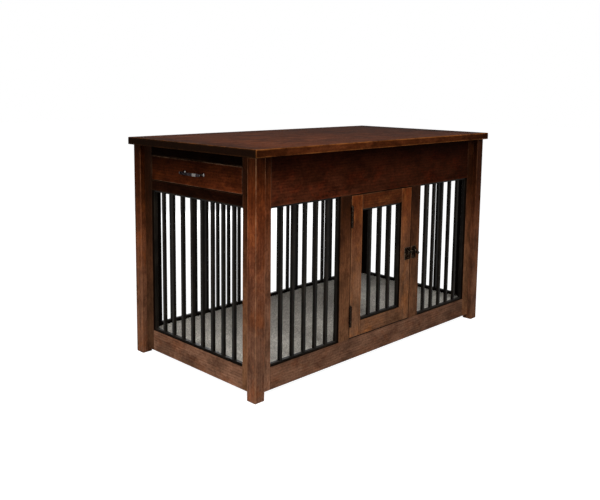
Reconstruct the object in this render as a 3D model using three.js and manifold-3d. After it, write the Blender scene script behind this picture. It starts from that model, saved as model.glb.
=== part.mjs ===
// Dog crate end table: a hardwood table whose base is a barred dog crate, with a hinged door
// in the front, a slide bolt to hold it and a shallow drawer in the left end.
// Millimetres. X runs along the table, Y from front to back, Z up; the origin is on the floor
// at the middle of the base.

import * as THREE from "three";
import { mergeVertices } from "three/addons/utils/BufferGeometryUtils.js";
import Module from "manifold-3d";

const wasm = await Module();
wasm.setup();

// ---------------------------------------------------------------- driving dimensions

// Table top
const TOP_LENGTH = 1254;
const TOP_DEPTH = 654;
const TOP_THICKNESS = 25;
const TOP_OVERHANG = 14;
const TABLE_HEIGHT = 762;

// Legs and the framed sides between them
const LEG_SIZE = 38;
const FRAME_THICKNESS = 19;
const FRAME_REVEAL = 18;
const CORNER_STILE_WIDTH = 40;
const BOTTOM_RAIL_HEIGHT = 72;
const FLOOR_CLEARANCE = 18;
const APRON_HEIGHT = 152;

// Doorway and door
const DOOR_WIDTH = 333;
const DOOR_GAP = 3;
const JAMB_WIDTH = 52.5;
const DOOR_STILE_WIDTH = 57;
const DOOR_RAIL_HEIGHT = 51;

// Steel grilles
const GRILLE_DEPTH = 12;
const GRILLE_EDGE = 6;
const GRILLE_FIT = 0.3;
const BAR_SIZE = 11;
const BAR_WELD = 2;
const SIDE_LIGHT_BARS = 5;
const DOOR_BARS = 3;
const END_BARS = 8;
const BACK_BARS = 19;

// Floor of the crate
const CLEAT_SIZE = 18;
const FLOOR_THICKNESS = 12;
const CARPET_THICKNESS = 6;
const CARPET_BELOW_RAIL = 4;
const FLOOR_FIT = 1;

// Hinges
const HINGE_HEIGHT = 64;
const HINGE_TOP_INSET = 38;
const HINGE_BOTTOM_INSET = 45;
const HINGE_BARREL = 9;
const HINGE_PIN = 4;
const HINGE_LEAF_DEPTH = 16;
const HINGE_LEAF_THICKNESS = 1.8;
const HINGE_LEAF_SPACING = 0.6;
const HINGE_KNUCKLES = 5;
const HINGE_RUNNING_GAP = 0.3;
const HINGE_TIP_HEIGHT = 6;

// Slide bolt on the door and its keeper on the jamb
const BOLT_HEIGHT = 345;
const BOLT_DIAMETER = 8;
const BOLT_TRAVEL = 12;
const BOLT_RUNNING_GAP = 0.3;
const LATCH_CLEARANCE = 1.5;
const LATCH_PLATE_WIDTH = 33;
const LATCH_PLATE_HEIGHT = 46;
const LATCH_PLATE_DROP = 6;
const LATCH_PLATE_THICKNESS = 2;
const LATCH_GUIDE_WIDTH = 6;
const LATCH_GUIDE_WALL = 3;
const KEEPER_WIDTH = 26;
const KEEPER_GUIDE_WIDTH = 10;
const KEEPER_GAP = 0.6;
const KEEPER_OFFSET = 4;
const KNOB_DIAMETER = 12;
const KNOB_STEM = 5;
const KNOB_REACH = 34;
const KNOB_SEAT = 2;

// Drawer in the left end
const DRAWER_RAIL_HEIGHT = 34;
const DRAWER_TOP_RAIL_HEIGHT = 32;
const DRAWER_GAP = 1.5;
const DRAWER_FRONT_THICKNESS = 19;
const DRAWER_BOX_LENGTH = 420;
const DRAWER_BOX_HEIGHT = 64;
const DRAWER_WALL = 12;
const DRAWER_BOTTOM = 6;
const DRAWER_BOTTOM_RISE = 8;
const GROOVE_DEPTH = 5;
const GROOVE_FIT = 0.3;

// Drawer slides and the blocks that carry them
const SLIDE_LENGTH = 400;
const SLIDE_HEIGHT = 36;
const SLIDE_WIDTH = 13;
const SLIDE_METAL = 1.5;
const SLIDE_RUNNING_GAP = 0.3;
const SLIDE_SETBACK = 4;
const BEARER_HEIGHT = 60;
const BEARER_LENGTH = 410;

// Bow pull
const PULL_CENTRES = 96;
const PULL_REACH = 27;
const PULL_BOW = 5;
const PULL_BAR_HEIGHT = 10;
const PULL_BAR_THICKNESS = 6;
const PULL_FOOT = 13;
const PULL_NECK = 7;

// ---------------------------------------------------------------- derived places

const legX = TOP_LENGTH / 2 - TOP_OVERHANG;
const legY = TOP_DEPTH / 2 - TOP_OVERHANG;
const legInnerX = legX - LEG_SIZE;
const legInnerY = legY - LEG_SIZE;
const underTop = TABLE_HEIGHT - TOP_THICKNESS;

const faceX = legX - FRAME_REVEAL;
const faceY = legY - FRAME_REVEAL;
const innerX = faceX - FRAME_THICKNESS;
const innerY = faceY - FRAME_THICKNESS;

const stileX = legInnerX - CORNER_STILE_WIDTH;
const stileY = legInnerY - CORNER_STILE_WIDTH;
const railTop = FLOOR_CLEARANCE + BOTTOM_RAIL_HEIGHT;
const apronBottom = underTop - APRON_HEIGHT;

const doorHalf = DOOR_WIDTH / 2;
const doorwayHalf = doorHalf + DOOR_GAP;
const jambOuter = doorwayHalf + JAMB_WIDTH;
const doorBottom = railTop + DOOR_GAP;
const doorTop = apronBottom - DOOR_GAP;
const doorLightHalf = doorHalf - DOOR_STILE_WIDTH;
const doorLightBottom = doorBottom + DOOR_RAIL_HEIGHT;
const doorLightTop = doorTop - DOOR_RAIL_HEIGHT;

const drawerBayBottom = apronBottom + DRAWER_RAIL_HEIGHT;
const drawerBayTop = underTop - DRAWER_TOP_RAIL_HEIGHT;
const drawerMiddle = (drawerBayBottom + drawerBayTop) / 2;

// ---------------------------------------------------------------- materials

const stainedWood = (colour) =>
  new THREE.MeshStandardMaterial({ color: colour, roughness: 0.45, metalness: 0 });
const blackSteel = () =>
  new THREE.MeshStandardMaterial({ color: 0x1c1a17, roughness: 0.5, metalness: 0.3 });
const darkBronze = () =>
  new THREE.MeshStandardMaterial({ color: 0x2e2824, roughness: 0.35, metalness: 0.9 });
const darkNickel = () =>
  new THREE.MeshStandardMaterial({ color: 0x4a4642, roughness: 0.3, metalness: 1 });
const zincSteel = () =>
  new THREE.MeshStandardMaterial({ color: 0x9a9a98, roughness: 0.35, metalness: 1 });
const rawWood = () =>
  new THREE.MeshStandardMaterial({ color: 0xb08a5c, roughness: 0.65, metalness: 0 });
const carpetPile = () =>
  new THREE.MeshStandardMaterial({ color: 0x8d8983, roughness: 1, metalness: 0 });

// ---------------------------------------------------------------- solids

// A box given by its two corners, so that boxes that share a face share the same numbers.
function boxBetween([x0, x1], [y0, y1], [z0, z1]) {
  const box = new THREE.BoxGeometry(1, 1, 1);
  const vertex = box.attributes.position;
  for (let i = 0; i < vertex.count; i++) {
    vertex.setXYZ(
      i,
      vertex.getX(i) < 0 ? x0 : x1,
      vertex.getY(i) < 0 ? y0 : y1,
      vertex.getZ(i) < 0 ? z0 : z1,
    );
  }
  return box;
}

function toSolid(geometry) {
  const bare = geometry.clone();
  bare.deleteAttribute("normal");
  bare.deleteAttribute("uv");
  const merged = mergeVertices(bare, 1e-4);
  return new wasm.Manifold(
    new wasm.Mesh({
      numProp: 3,
      vertProperties: new Float32Array(merged.attributes.position.array),
      triVerts: new Uint32Array(merged.index.array),
    }),
  );
}

function toGeometry(solid) {
  const mesh = solid.getMesh();
  const geometry = new THREE.BufferGeometry();
  geometry.setAttribute("position", new THREE.BufferAttribute(mesh.vertProperties, 3));
  geometry.setIndex(new THREE.BufferAttribute(mesh.triVerts, 1));
  geometry.computeVertexNormals();
  return geometry;
}

function join(...geometries) {
  const solids = geometries.map(toSolid);
  return toGeometry(solids.reduce((whole, next) => whole.add(next)));
}

function cut(geometry, ...tools) {
  const solids = tools.map(toSolid);
  return toGeometry(solids.reduce((whole, next) => whole.subtract(next), toSolid(geometry)));
}

// A turned shape round the Z axis from points of [radius, height].
function turned(points, sides = 24) {
  return new THREE.LatheGeometry(
    points.map(([radius, height]) => new THREE.Vector2(radius, height)),
    sides,
  ).rotateX(Math.PI / 2);
}

const rod = (radius, z0, z1, sides) =>
  turned([[0, z0], [radius, z0], [radius, z1], [0, z1]], sides);

const ring = (inner, outer, z0, z1) =>
  turned([[inner, z0], [outer, z0], [outer, z1], [inner, z1], [inner, z0]]);

function named(name, geometry, material) {
  const mesh = new THREE.Mesh(geometry, material);
  mesh.name = name;
  return mesh;
}

const board = (name, colour, x, y, z) => named(name, boxBetween(x, y, z), stainedWood(colour));

// The span from a to b on the side of the middle that `side` (-1 or 1) names, low end first.
const mirrored = (side, a, b) => (side < 0 ? [-b, -a] : [a, b]);

// ---------------------------------------------------------------- wooden frame

const WOOD_LEG = 0x5c3320;
const WOOD_RAIL = 0x604330;
const WOOD_APRON = 0x3a1d10;
const WOOD_DOOR = 0x6a3b22;
const WOOD_TOP = 0x54342a;
const WOOD_DRAWER = 0x55250f;

function tableTop() {
  return board(
    "table_top",
    WOOD_TOP,
    [-TOP_LENGTH / 2, TOP_LENGTH / 2],
    [-TOP_DEPTH / 2, TOP_DEPTH / 2],
    [underTop, TABLE_HEIGHT],
  );
}

function legs() {
  const group = new THREE.Group();
  for (const [yName, ySide] of [["front", -1], ["back", 1]]) {
    for (const [xName, xSide] of [["left", -1], ["right", 1]]) {
      group.add(
        board(
          `leg_${yName}_${xName}`,
          WOOD_LEG,
          mirrored(xSide, legInnerX, legX),
          mirrored(ySide, legInnerY, legY),
          [0, underTop],
        ),
      );
    }
  }
  return group;
}

// A long side: two corner stiles from top to bottom, with the apron and the bottom rail between.
function longSide(yName, ySide) {
  const group = new THREE.Group();
  const y = mirrored(ySide, innerY, faceY);
  for (const [xName, xSide] of [["left", -1], ["right", 1]]) {
    group.add(
      board(
        `${yName}_stile_${xName}`,
        WOOD_RAIL,
        mirrored(xSide, stileX, legInnerX),
        y,
        [FLOOR_CLEARANCE, underTop],
      ),
    );
  }
  group.add(
    board(`${yName}_apron`, WOOD_APRON, [-stileX, stileX], y, [apronBottom, underTop]),
    board(`${yName}_bottom_rail`, WOOD_RAIL, [-stileX, stileX], y, [FLOOR_CLEARANCE, railTop]),
  );
  return group;
}

function endStiles(xName, xSide) {
  const group = new THREE.Group();
  for (const [yName, ySide] of [["front", -1], ["back", 1]]) {
    group.add(
      board(
        `${xName}_stile_${yName}`,
        WOOD_RAIL,
        mirrored(xSide, innerX, faceX),
        mirrored(ySide, stileY, legInnerY),
        [FLOOR_CLEARANCE, underTop],
      ),
    );
  }
  return group;
}

function endRail(name, colour, xSide, z) {
  return board(name, colour, mirrored(xSide, innerX, faceX), [-stileY, stileY], z);
}

function jambs() {
  const group = new THREE.Group();
  for (const [name, side] of [["left", -1], ["right", 1]]) {
    const jamb = boxBetween(
      mirrored(side, doorwayHalf, jambOuter),
      [-faceY, -innerY],
      [railTop, apronBottom],
    );
    const shape = side < 0 ? cut(jamb, ...hingePockets(-doorwayHalf, -1)) : jamb;
    group.add(named(`door_jamb_${name}`, shape, stainedWood(WOOD_RAIL)));
  }
  return group;
}

// ---------------------------------------------------------------- steel grilles

// A welded grille that stands in an opening: a flat-bar frame with square bars at even gaps.
// It is made upright round the Z axis, with its bars across X and its depth along Y.
function grilleGeometry(width, low, high, bars) {
  const half = width / 2 - GRILLE_FIT;
  const z0 = low + GRILLE_FIT;
  const z1 = high - GRILLE_FIT;
  const depth = [-GRILLE_DEPTH / 2, GRILLE_DEPTH / 2];
  const barDepth = [-BAR_SIZE / 2, BAR_SIZE / 2];
  const frame = cut(
    boxBetween([-half, half], depth, [z0, z1]),
    boxBetween(
      [-half + GRILLE_EDGE, half - GRILLE_EDGE],
      [-GRILLE_DEPTH, GRILLE_DEPTH],
      [z0 + GRILLE_EDGE, z1 - GRILLE_EDGE],
    ),
  );
  const inside = 2 * (half - GRILLE_EDGE);
  const gap = (inside - bars * BAR_SIZE) / (bars + 1);
  const uprights = [];
  for (let i = 0; i < bars; i++) {
    const x = -half + GRILLE_EDGE + gap + i * (gap + BAR_SIZE);
    uprights.push(
      boxBetween(
        [x, x + BAR_SIZE],
        barDepth,
        [z0 + GRILLE_EDGE - BAR_WELD, z1 - GRILLE_EDGE + BAR_WELD],
      ),
    );
  }
  return join(frame, ...uprights);
}

function grille(name, width, low, high, bars) {
  return named(name, grilleGeometry(width, low, high, bars), blackSteel());
}

const grilleY = innerY + GRILLE_DEPTH / 2;
const grilleX = innerX + GRILLE_DEPTH / 2;

function fixedGrilles() {
  const group = new THREE.Group();
  const lightWidth = stileX - jambOuter;
  for (const [name, side] of [["left", -1], ["right", 1]]) {
    const sideLight = grille(
      `grille_front_${name}`,
      lightWidth,
      railTop,
      apronBottom,
      SIDE_LIGHT_BARS,
    );
    sideLight.position.set(side * (jambOuter + lightWidth / 2), -grilleY, 0);
    const end = grille(`grille_${name}_end`, 2 * stileY, railTop, apronBottom, END_BARS);
    end.rotation.z = Math.PI / 2;
    end.position.set(side * grilleX, 0, 0);
    group.add(sideLight, end);
  }
  const back = grille("grille_back", 2 * stileX, railTop, apronBottom, BACK_BARS);
  back.position.set(0, grilleY, 0);
  group.add(back);
  return group;
}

// ---------------------------------------------------------------- crate floor

function crateFloor() {
  const group = new THREE.Group();
  const carpetTop = railTop - CARPET_BELOW_RAIL;
  const carpetBottom = carpetTop - CARPET_THICKNESS;
  const panelBottom = carpetBottom - FLOOR_THICKNESS;
  const halfX = legInnerX - FLOOR_FIT;
  const halfY = legInnerY - FLOOR_FIT;
  group.add(
    named(
      "floor_carpet",
      boxBetween([-halfX, halfX], [-halfY, halfY], [carpetBottom, carpetTop]),
      carpetPile(),
    ),
    named(
      "floor_panel",
      boxBetween([-halfX, halfX], [-halfY, halfY], [panelBottom, carpetBottom]),
      rawWood(),
    ),
  );
  for (const [name, side] of [["front", -1], ["back", 1]]) {
    group.add(
      named(
        `floor_cleat_${name}`,
        boxBetween(
          [-stileX, stileX],
          mirrored(side, innerY - CLEAT_SIZE, innerY),
          [panelBottom - CLEAT_SIZE, panelBottom],
        ),
        rawWood(),
      ),
    );
  }
  return group;
}

// ---------------------------------------------------------------- hinges

// The hinge line stands in front of the door's face, over the middle of its left gap.
const hingeX = -doorHalf - DOOR_GAP / 2;
const hingeY = -faceY - HINGE_BARREL / 2;
const hingeBottoms = {
  top: doorTop - HINGE_TOP_INSET - HINGE_HEIGHT,
  bottom: doorBottom + HINGE_BOTTOM_INSET + HINGE_RUNNING_GAP,
};
const leafNear = HINGE_LEAF_SPACING / 2;
const leafFar = leafNear + HINGE_LEAF_THICKNESS;
const leafFront = HINGE_BARREL / 2 + HINGE_RUNNING_GAP;
const leafBack = leafFront + HINGE_LEAF_DEPTH;

// Pockets for the leaves of both hinges in a wooden edge at x, cut towards `side`.
function hingePockets(x, side) {
  const edge = side * leafFar + hingeX + side * HINGE_RUNNING_GAP;
  return Object.values(hingeBottoms).map((bottom) =>
    boxBetween(
      side < 0 ? [edge, x + 1] : [x - 1, edge],
      [-faceY - 1, hingeY + leafBack + HINGE_RUNNING_GAP],
      [bottom - HINGE_RUNNING_GAP, bottom + HINGE_HEIGHT + HINGE_RUNNING_GAP],
    ),
  );
}

// One leaf, from the hinge line: a plate in the gap and every second knuckle, from `first` on.
function hingeLeaf(name, side, first) {
  const pitch = HINGE_HEIGHT / HINGE_KNUCKLES;
  const plate = mirrored(side, leafNear, leafFar);
  const pieces = [boxBetween(plate, [leafFront, leafBack], [0, HINGE_HEIGHT])];
  for (let i = first; i < HINGE_KNUCKLES; i += 2) {
    const z0 = i * pitch + (i > 0 ? HINGE_RUNNING_GAP / 2 : 0);
    const z1 = (i + 1) * pitch - (i < HINGE_KNUCKLES - 1 ? HINGE_RUNNING_GAP / 2 : 0);
    const wall = HINGE_PIN / 2 + HINGE_RUNNING_GAP;
    const tabFront = (wall + HINGE_BARREL / 2) / 2 + leafNear;
    pieces.push(
      ring(wall, HINGE_BARREL / 2, z0, z1),
      boxBetween(plate, [tabFront, leafFront + 1], [z0, z1]),
    );
  }
  return named(name, join(...pieces), darkBronze());
}

// The loose pin, with a rounded tip above and below the knuckles.
function hingePin(name) {
  const shaft = HINGE_PIN / 2;
  const cap = HINGE_BARREL / 2;
  const low = -HINGE_RUNNING_GAP;
  const high = HINGE_HEIGHT + HINGE_RUNNING_GAP;
  const tip = HINGE_TIP_HEIGHT;
  const profile = [
    [0, low - tip],
    [cap * 0.6, low - tip * 0.8],
    [cap, low - tip * 0.35],
    [cap * 0.8, low],
    [shaft, low],
    [shaft, high],
    [cap * 0.8, high],
    [cap, high + tip * 0.35],
    [cap * 0.6, high + tip * 0.8],
    [0, high + tip],
  ];
  return named(name, turned(profile), darkBronze());
}

function frameHinges() {
  const group = new THREE.Group();
  for (const [where, bottom] of Object.entries(hingeBottoms)) {
    const hinge = new THREE.Group();
    hinge.position.set(hingeX, hingeY, bottom);
    hinge.add(
      hingeLeaf(`hinge_${where}_frame_leaf`, -1, 0),
      hingePin(`hinge_${where}_pin`),
    );
    group.add(hinge);
  }
  return group;
}

// ---------------------------------------------------------------- door

// Everything that swings with the door is placed from the hinge line.
function doorLeaf() {
  const group = new THREE.Group();
  group.position.set(hingeX, hingeY, 0);
  const left = -doorHalf - hingeX;
  const right = doorHalf - hingeX;
  const lightLeft = left + DOOR_STILE_WIDTH;
  const lightRight = right - DOOR_STILE_WIDTH;
  const front = -faceY - hingeY;
  const back = -innerY - hingeY;
  const pockets = hingePockets(-doorHalf, 1).map((pocket) =>
    pocket.translate(-hingeX, -hingeY, 0),
  );
  group.add(
    named(
      "door_stile_left",
      cut(boxBetween([left, lightLeft], [front, back], [doorBottom, doorTop]), ...pockets),
      stainedWood(WOOD_DOOR),
    ),
    board(
      "door_stile_right",
      WOOD_DOOR,
      [lightRight, right],
      [front, back],
      [doorBottom, doorTop],
    ),
    board(
      "door_rail_top",
      WOOD_DOOR,
      [lightLeft, lightRight],
      [front, back],
      [doorLightTop, doorTop],
    ),
    board(
      "door_rail_bottom",
      WOOD_DOOR,
      [lightLeft, lightRight],
      [front, back],
      [doorBottom, doorLightBottom],
    ),
  );
  const light = grille("door_grille", 2 * doorLightHalf, doorLightBottom, doorLightTop, DOOR_BARS);
  light.position.set(-hingeX, -grilleY - hingeY, 0);
  group.add(light);
  for (const [where, bottom] of Object.entries(hingeBottoms)) {
    const leaf = hingeLeaf(`hinge_${where}_door_leaf`, 1, 1);
    leaf.position.z = bottom;
    group.add(leaf);
  }
  return group;
}

// ---------------------------------------------------------------- slide bolt

// The bolt is drawn back. Its knob stands to the right of the right guide, and at the end of
// its travel the knob is as close to the keeper and its left end is half way through the left
// guide.
const boltY = -faceY - LATCH_PLATE_THICKNESS - BOLT_RUNNING_GAP - BOLT_DIAMETER / 2;
const guideHalf = BOLT_DIAMETER / 2 + BOLT_RUNNING_GAP + LATCH_GUIDE_WALL;
const plateRight = doorHalf - LATCH_CLEARANCE;
const plateLeft = plateRight - LATCH_PLATE_WIDTH;
const boltLeft = plateLeft + LATCH_CLEARANCE;
const leftGuide = boltLeft + BOLT_TRAVEL - LATCH_GUIDE_WIDTH / 2;
const rightGuide = plateRight - LATCH_CLEARANCE - LATCH_GUIDE_WIDTH;
const knobX = rightGuide + LATCH_GUIDE_WIDTH + LATCH_CLEARANCE + KNOB_STEM / 2;
const keeperLeft = doorwayHalf + KEEPER_OFFSET;
const keeperGuide = knobX + KNOB_STEM / 2 + BOLT_TRAVEL + LATCH_CLEARANCE;
const boltRight = keeperGuide - LATCH_CLEARANCE;
const plateZ = [
  BOLT_HEIGHT - LATCH_PLATE_DROP - LATCH_PLATE_HEIGHT / 2,
  BOLT_HEIGHT - LATCH_PLATE_DROP + LATCH_PLATE_HEIGHT / 2,
];

// A rod along X at the bolt's place, of the given radius.
const alongBolt = (radius, x0, x1) =>
  rod(radius, x0, x1).rotateY(Math.PI / 2).translate(0, boltY, BOLT_HEIGHT);

// A plate on the face of the wood with bridges that stand on it and wrap the bolt.
function latchFixture(name, x, bridges, gap) {
  const plateFace = -faceY - LATCH_PLATE_THICKNESS;
  const clear = BOLT_DIAMETER / 2 + gap;
  const plate = boxBetween(x, [plateFace, -faceY], plateZ);
  const loops = bridges.map(([start, width]) =>
    boxBetween(
      [start, start + width],
      [boltY - guideHalf, -faceY - LATCH_PLATE_THICKNESS / 2],
      [BOLT_HEIGHT - guideHalf, BOLT_HEIGHT + guideHalf],
    ),
  );
  const channel = boxBetween(
    [x[0] - 1, x[1] + 1],
    [boltY - clear, plateFace],
    [BOLT_HEIGHT - clear, BOLT_HEIGHT + clear],
  );
  return named(name, cut(join(plate, ...loops), channel), darkBronze());
}

// A shape turned round Z, laid along -Y from the bolt's middle at the knob's place.
const outOfBolt = (shape) =>
  shape.rotateX(Math.PI / 2).translate(knobX, boltY, BOLT_HEIGHT);

const seatHeight = BOLT_DIAMETER / 2 - KNOB_SEAT;

function latchBolt() {
  const seat = rod(KNOB_STEM / 2 + BOLT_RUNNING_GAP, seatHeight, BOLT_DIAMETER);
  const shape = cut(alongBolt(BOLT_DIAMETER / 2, boltLeft, boltRight), outOfBolt(seat));
  return named("latch_bolt", shape, darkBronze());
}

// The knob's stem stands in a seat in the bolt.
function latchKnob() {
  const reach = KNOB_REACH - (-faceY - boltY);
  const neck = KNOB_STEM / 2;
  const ball = KNOB_DIAMETER / 2;
  const steps = 8;
  const start = Math.asin(neck / ball);
  const foot = seatHeight + BOLT_RUNNING_GAP;
  const profile = [[0, foot], [neck, foot]];
  for (let i = 0; i <= steps; i++) {
    const angle = start + ((Math.PI - start) * i) / steps;
    const radius = i < steps ? ball * Math.sin(angle) : 0;
    profile.push([radius, reach - ball * Math.cos(angle)]);
  }
  return named("latch_knob", outOfBolt(turned(profile)), darkBronze());
}

function latch() {
  const group = new THREE.Group();
  group.add(
    latchFixture(
      "latch_plate",
      [plateLeft, plateRight],
      [[leftGuide, LATCH_GUIDE_WIDTH], [rightGuide, LATCH_GUIDE_WIDTH]],
      BOLT_RUNNING_GAP,
    ),
    latchBolt(),
    latchKnob(),
    latchFixture(
      "latch_keeper",
      [keeperLeft, keeperLeft + KEEPER_WIDTH],
      [[keeperGuide, KEEPER_GUIDE_WIDTH]],
      KEEPER_GAP,
    ),
  );
  return group;
}

// ---------------------------------------------------------------- drawer

const boxHalf = stileY - SLIDE_WIDTH;
const boxBottom = drawerMiddle - DRAWER_BOX_HEIGHT / 2;
const boxTop = drawerMiddle + DRAWER_BOX_HEIGHT / 2;
const drawerFrontBack = -faceX + DRAWER_FRONT_THICKNESS;
const boxEnd = drawerFrontBack + DRAWER_BOX_LENGTH;
const bottomLow = boxBottom + DRAWER_BOTTOM_RISE;
const bottomHigh = bottomLow + DRAWER_BOTTOM;

function drawer() {
  const group = new THREE.Group();
  const grooved = GROOVE_DEPTH - GROOVE_FIT;
  const wallX = [drawerFrontBack, boxEnd];
  const groove = boxBetween(
    [drawerFrontBack - GROOVE_DEPTH, boxEnd - DRAWER_WALL + GROOVE_DEPTH],
    [-boxHalf + DRAWER_WALL - GROOVE_DEPTH, boxHalf - DRAWER_WALL + GROOVE_DEPTH],
    [bottomLow - GROOVE_FIT, bottomHigh + GROOVE_FIT],
  );
  group.add(
    named(
      "drawer_front",
      cut(
        boxBetween(
          [-faceX, drawerFrontBack],
          [-stileY + DRAWER_GAP, stileY - DRAWER_GAP],
          [drawerBayBottom + DRAWER_GAP, drawerBayTop - DRAWER_GAP],
        ),
        groove,
      ),
      stainedWood(WOOD_DRAWER),
    ),
  );
  for (const [name, side] of [["front", -1], ["back", 1]]) {
    const wall = boxBetween(
      wallX,
      mirrored(side, boxHalf - DRAWER_WALL, boxHalf),
      [boxBottom, boxTop],
    );
    group.add(named(`drawer_side_${name}`, cut(wall, groove), rawWood()));
  }
  const backWall = boxBetween(
    [boxEnd - DRAWER_WALL, boxEnd],
    [-boxHalf + DRAWER_WALL, boxHalf - DRAWER_WALL],
    [boxBottom, boxTop],
  );
  group.add(
    named("drawer_back", cut(backWall, groove), rawWood()),
    named(
      "drawer_bottom",
      boxBetween(
        [drawerFrontBack - grooved, boxEnd - DRAWER_WALL + grooved],
        [-boxHalf + DRAWER_WALL - grooved, boxHalf - DRAWER_WALL + grooved],
        [bottomLow, bottomHigh],
      ),
      rawWood(),
    ),
    pull(),
  );
  return group;
}

// The bow pull: a flat bar along a shallow arc between two feet that flare on to the drawer.
function pull() {
  const half = PULL_CENTRES / 2;
  const footTop = PULL_REACH - PULL_BOW - PULL_BAR_THICKNESS / 2;
  const radius = (half * half + PULL_BOW * PULL_BOW) / (2 * PULL_BOW);
  const steps = 12;
  const span = Math.asin((half + PULL_NECK / 2) / radius);
  const outline = new THREE.Shape();
  for (const [offset, turn] of [[0, 1], [-PULL_BAR_THICKNESS, -1]]) {
    for (let i = 0; i <= steps; i++) {
      const angle = turn * span * ((2 * i) / steps - 1);
      const along = (radius + offset) * Math.sin(angle);
      const out = PULL_REACH - radius + (radius + offset) * Math.cos(angle);
      if (offset === 0 && i === 0) {
        outline.moveTo(out, along);
      } else {
        outline.lineTo(out, along);
      }
    }
  }
  const bow = new THREE.ExtrudeGeometry(outline, { depth: PULL_BAR_HEIGHT, bevelEnabled: false });
  bow.translate(0, 0, -PULL_BAR_HEIGHT / 2);
  const feet = [-half, half].map((y) => {
    const foot = turned(
      [
        [0, 0],
        [PULL_FOOT / 2, 0],
        [PULL_FOOT / 2, 2],
        [PULL_NECK / 2, 6],
        [PULL_NECK / 2, footTop],
        [0, footTop],
      ],
      16,
    );
    return foot.rotateY(Math.PI / 2).translate(0, y, 0);
  });
  const shape = join(bow, ...feet).rotateZ(Math.PI);
  const mesh = named("drawer_pull", shape, darkNickel());
  mesh.position.set(-faceX, 0, drawerMiddle);
  return mesh;
}

// ---------------------------------------------------------------- drawer slides

const slideStart = -innerX + SLIDE_SETBACK;

// Blocks between the aprons and the slides, level with the inner edges of the end stiles.
function bearers() {
  const group = new THREE.Group();
  for (const [name, side] of [["front", -1], ["back", 1]]) {
    group.add(
      named(
        `drawer_bearer_${name}`,
        boxBetween(
          [-legInnerX, -legInnerX + BEARER_LENGTH],
          mirrored(side, stileY, innerY),
          [drawerMiddle - BEARER_HEIGHT / 2, drawerMiddle + BEARER_HEIGHT / 2],
        ),
        rawWood(),
      ),
    );
  }
  return group;
}

// The channel that stays on the bearer.
function slideChannels() {
  const group = new THREE.Group();
  for (const [name, side] of [["front", -1], ["back", 1]]) {
    const z = [drawerMiddle - SLIDE_HEIGHT / 2, drawerMiddle + SLIDE_HEIGHT / 2];
    const x = [slideStart, slideStart + SLIDE_LENGTH];
    const bar = boxBetween(x, mirrored(side, boxHalf + SLIDE_METAL, stileY), z);
    const hollow = boxBetween(
      [x[0] - 1, x[1] + 1],
      mirrored(side, boxHalf, stileY - SLIDE_METAL),
      [z[0] + SLIDE_METAL, z[1] - SLIDE_METAL],
    );
    group.add(named(`slide_channel_${name}`, cut(bar, hollow), zincSteel()));
  }
  return group;
}

// The runner that moves in the channel with the drawer.
function slideRunners() {
  const group = new THREE.Group();
  const half = SLIDE_HEIGHT / 2 - SLIDE_METAL - SLIDE_RUNNING_GAP;
  for (const [name, side] of [["front", -1], ["back", 1]]) {
    group.add(
      named(
        `slide_runner_${name}`,
        boxBetween(
          [slideStart, slideStart + SLIDE_LENGTH - SLIDE_SETBACK],
          mirrored(side, boxHalf, stileY - SLIDE_METAL - SLIDE_RUNNING_GAP),
          [drawerMiddle - half, drawerMiddle + half],
        ),
        zincSteel(),
      ),
    );
  }
  return group;
}

// ---------------------------------------------------------------- the whole table

const table = new THREE.Group();
table.add(
  tableTop(),
  legs(),
  longSide("front", -1),
  longSide("back", 1),
  jambs(),
  endStiles("left", -1),
  endRail("left_top_rail", WOOD_APRON, -1, [drawerBayTop, underTop]),
  endRail("left_drawer_rail", WOOD_APRON, -1, [apronBottom, drawerBayBottom]),
  endRail("left_bottom_rail", WOOD_RAIL, -1, [FLOOR_CLEARANCE, railTop]),
  endStiles("right", 1),
  endRail("right_apron", WOOD_APRON, 1, [apronBottom, underTop]),
  endRail("right_bottom_rail", WOOD_RAIL, 1, [FLOOR_CLEARANCE, railTop]),
  fixedGrilles(),
  crateFloor(),
  frameHinges(),
  doorLeaf(),
  latch(),
  drawer(),
  bearers(),
  slideChannels(),
  slideRunners(),
);

export default table;
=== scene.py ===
import math
import random

import bmesh
import bpy
from mathutils import Matrix, Vector


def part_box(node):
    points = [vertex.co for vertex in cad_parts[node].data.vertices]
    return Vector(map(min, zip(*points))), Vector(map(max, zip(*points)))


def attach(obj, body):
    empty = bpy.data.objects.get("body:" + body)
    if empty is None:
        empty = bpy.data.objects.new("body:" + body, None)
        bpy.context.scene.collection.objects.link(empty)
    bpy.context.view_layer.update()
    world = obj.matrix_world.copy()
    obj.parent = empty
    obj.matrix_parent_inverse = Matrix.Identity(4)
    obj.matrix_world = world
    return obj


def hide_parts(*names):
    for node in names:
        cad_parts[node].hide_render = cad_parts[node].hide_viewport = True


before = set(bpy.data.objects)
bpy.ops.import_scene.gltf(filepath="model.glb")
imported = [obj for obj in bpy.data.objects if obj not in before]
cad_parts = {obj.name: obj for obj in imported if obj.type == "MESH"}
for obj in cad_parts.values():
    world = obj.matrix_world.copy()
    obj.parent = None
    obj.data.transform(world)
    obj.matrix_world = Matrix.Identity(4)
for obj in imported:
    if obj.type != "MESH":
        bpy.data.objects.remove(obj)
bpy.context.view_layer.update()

MM = 0.001

# The kinds of node that are used most, a range that eases in and out, and a mix of colours.
MATH = "ShaderNodeMath"
RANGE = "ShaderNodeMapRange"
NOISE = "ShaderNodeTexNoise"
MIX = "ShaderNodeMix"
SMOOTH = {"interpolation_type": "SMOOTHSTEP"}
COLOURS = {"data_type": "RGBA"}

# ---- placing and wiring


def shift(x, y, z):
    return Matrix.Translation((x, y, z))


def turn(degrees, axis):
    return Matrix.Rotation(math.radians(degrees), 4, axis)


def placed(name, data):
    """An object of the scene that holds this mesh, lamp or camera."""
    thing = bpy.data.objects.new(name, data)
    bpy.context.scene.collection.objects.link(thing)
    return thing


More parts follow.
